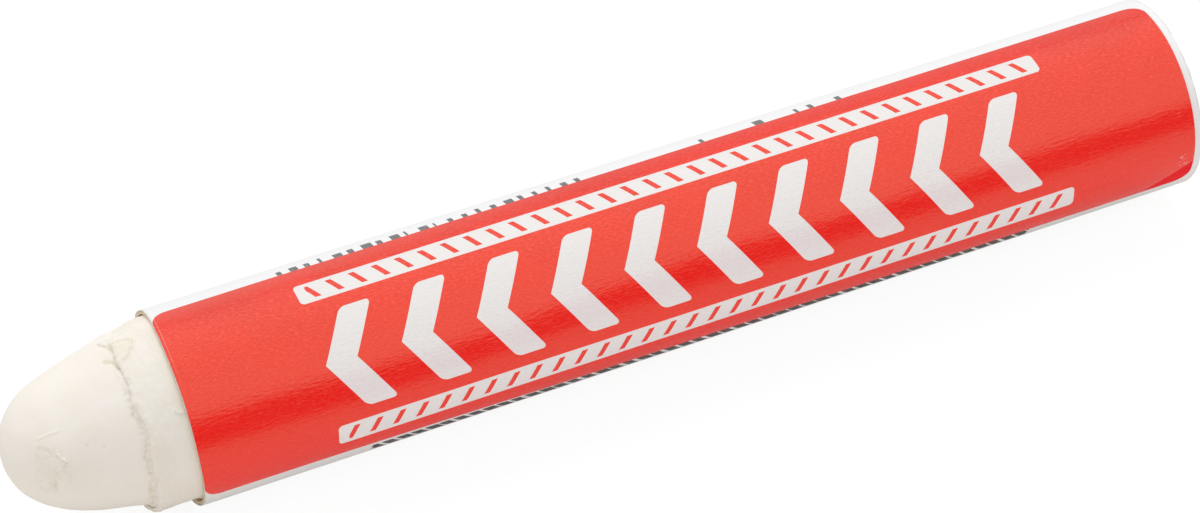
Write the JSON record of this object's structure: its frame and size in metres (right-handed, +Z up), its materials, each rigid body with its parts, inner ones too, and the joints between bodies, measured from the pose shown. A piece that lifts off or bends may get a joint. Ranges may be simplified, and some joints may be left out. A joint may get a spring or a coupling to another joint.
{
  "type": "tire marker",
  "caption": "Solid paint tire marker: a round-nosed stick of moulded paint in an open rolled paper tube with a glossy label, pushed forward through the tube as it wears.",
  "frame": {"origin": "on the surface that the marker lies on, under the middle of its length and width", "axes": "X along the marker with the nose towards -X, +Z up, the middle of the label faces -Y and up"},
  "size_m": [0.1206, 0.0192, 0.0191],
  "materials": {
    "paint": "soft matte solid paint, warm off-white",
    "dried_paint": "wrinkled dried paint skin, slightly waxy",
    "kraft_paper": "raw brown kraft paper",
    "white_paper": "smooth white printed paper",
    "label": "red label under a satin clear film"
  },
  "bodies": {
    "tube": {"kraft_tube": "kraft_paper", "white_wrap": "white_paper", "red_label": "label"},
    "stick": {"paint_stick": "paint", "dried_skin": "dried_paint"}
  },
  "joints": [
    {"name": "stick_slide", "type": "slide", "parent": "tube", "child": "stick", "axis": [-1, 0, 0], "range_m": [0, 0.075]}
  ]
}
